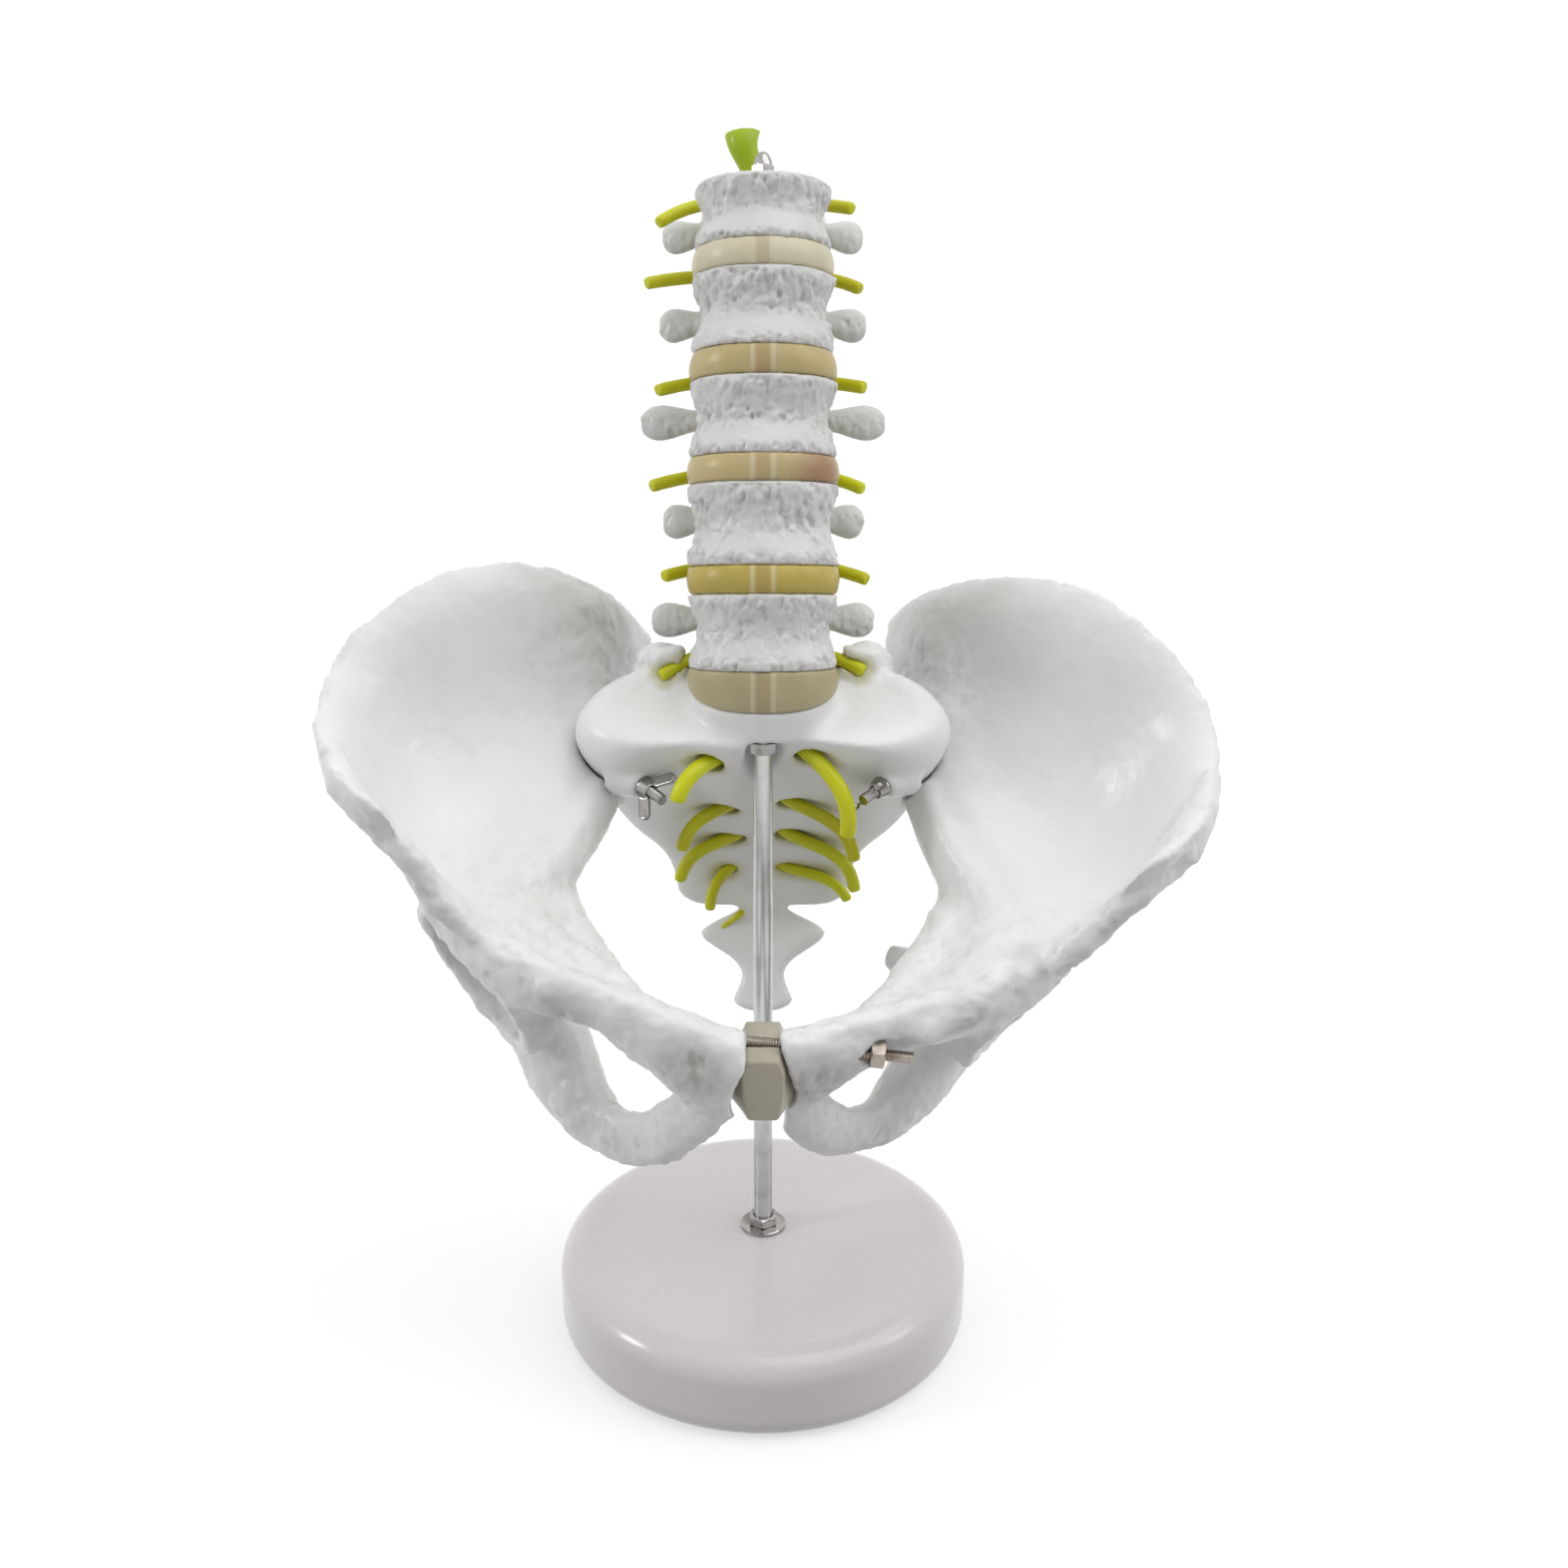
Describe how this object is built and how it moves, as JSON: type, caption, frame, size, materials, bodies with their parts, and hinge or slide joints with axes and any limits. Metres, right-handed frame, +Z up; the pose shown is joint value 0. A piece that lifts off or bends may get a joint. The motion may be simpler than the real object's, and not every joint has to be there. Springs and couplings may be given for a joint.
{
  "type": "pelvis skeleton model",
  "caption": "Life-size pelvis skeleton model with sacrum, lumbar spine, discs and nerve roots, held by an upright rod on a round base.",
  "frame": {"origin": "centre of the base's flat underside", "axes": "+Z up along the support rod, -Y towards the front of the pelvis (the pubic side), +X to the viewer's right when looking at the front"},
  "size_m": [0.2909, 0.2107, 0.4071],
  "materials": {
    "bone_plastic": "satin cream-white plastic with cast bone texture",
    "base_plastic": "smooth glossy off-white plastic",
    "disc_rubber": "soft translucent khaki rubber",
    "nerve_rubber": "soft yellow-green rubber",
    "symphysis_rubber": "soft grey-beige rubber",
    "rod_steel": "plain drawn steel rod",
    "chrome": "bright plated steel",
    "dull_steel": "darker yellowish plated steel"
  },
  "bodies": {
    "root": {"base": "base_plastic", "support_rod": "rod_steel", "foot_washer": "chrome", "foot_nut": "chrome", "top_nut": "rod_steel", "sacrum": "bone_plastic", "lumbar_1": "bone_plastic", "lumbar_2": "bone_plastic", "lumbar_3": "bone_plastic", "lumbar_4": "bone_plastic", "lumbar_5": "bone_plastic", "disc_1": "disc_rubber", "disc_2": "disc_rubber", "disc_3": "disc_rubber", "disc_4": "disc_rubber", "disc_5": "disc_rubber", "core_rod": "rod_steel", "spinal_nerves": "nerve_rubber", "cap_nut": "chrome", "hip_bone_left": "bone_plastic", "hip_bone_right": "bone_plastic", "symphysis_disc": "symphysis_rubber", "pubic_bolt": "dull_steel", "pubic_nut": "dull_steel", "wing_nut_left": "chrome", "wing_screw_left": "chrome", "wing_nut_right": "chrome", "wing_screw_right": "chrome"}
  },
  "joints": []
}
